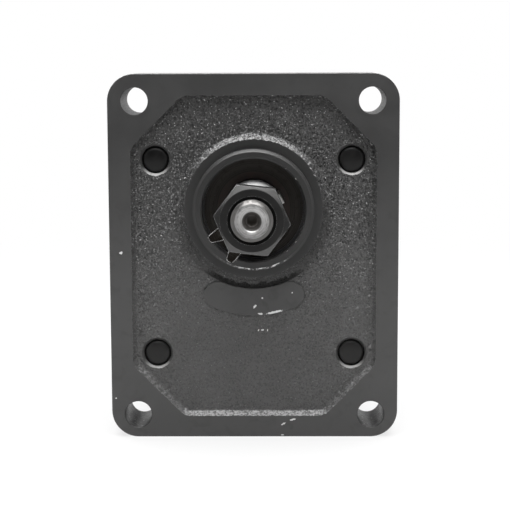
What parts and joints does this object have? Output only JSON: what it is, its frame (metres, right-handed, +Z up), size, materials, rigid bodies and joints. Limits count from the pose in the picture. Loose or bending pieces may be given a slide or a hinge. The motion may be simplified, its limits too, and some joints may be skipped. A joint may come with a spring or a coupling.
{
  "type": "external gear pump",
  "caption": "External gear pump with a rectangular four-hole cast flange, round pilot, tapered keyed drive shaft with nut, and flanged side ports.",
  "frame": {"origin": "centre of the pilot on the mounting face of the flange", "axes": "+X to the right and +Z up when the shaft end is looked at, the shaft points towards -Y, the rear cover towards +Y"},
  "size_m": [0.0878, 0.1443, 0.1112],
  "materials": {
    "casting_paint": "sand-cast iron under matte dark grey paint",
    "body_paint": "extruded aluminium alloy under matte dark grey paint",
    "block_aluminium": "machined aluminium alloy",
    "bush_bronze": "bronze-backed bearing lining",
    "static_rubber": "black nitrile rubber",
    "seal_rubber": "brown-black fluoro rubber",
    "backup_plastic": "stiff white-brown plastic",
    "turned_steel": "hardened steel, turned and ground",
    "key_steel": "bright drawn steel",
    "black_oxide_steel": "black oxide on steel",
    "washer_steel": "thin dark spring steel with bare sheared edges",
    "zinc_steel": "zinc-plated steel"
  },
  "bodies": {
    "housing": {"front_flange": "casting_paint", "pump_body": "body_paint", "rear_cover": "casting_paint", "front_bearing_block": "block_aluminium", "rear_bearing_block": "block_aluminium", "front_drive_bush": "bush_bronze", "front_driven_bush": "bush_bronze", "rear_drive_bush": "bush_bronze", "rear_driven_bush": "bush_bronze", "front_pressure_seal": "static_rubber", "rear_pressure_seal": "static_rubber", "front_backup_ring": "backup_plastic", "rear_backup_ring": "backup_plastic", "front_body_seal": "static_rubber", "rear_body_seal": "static_rubber", "shaft_seal_case": "washer_steel", "shaft_seal_lip": "seal_rubber", "seal_garter_spring": "key_steel", "seal_retaining_ring": "black_oxide_steel", "body_screws": "black_oxide_steel", "screw_washers": "zinc_steel", "front_dowels": "key_steel", "rear_dowels": "key_steel"},
    "drive": {"drive_gear_shaft": "turned_steel", "woodruff_key": "key_steel", "tab_washer": "washer_steel", "shaft_nut": "black_oxide_steel"},
    "driven": {"driven_gear_shaft": "turned_steel"}
  },
  "joints": [
    {"name": "drive_spin", "type": "hinge", "parent": "housing", "child": "drive", "pos_m": [0, 0.051, 0], "axis": [0, 1, 0], "continuous": true},
    {"name": "driven_spin", "type": "hinge", "parent": "housing", "child": "driven", "pos_m": [0, 0.051, -0.03], "axis": [0, 1, 0], "continuous": true}
  ],
  "couplings": [
    {"joint": "driven_spin", "follows": "drive_spin", "ratio": -1}
  ]
}
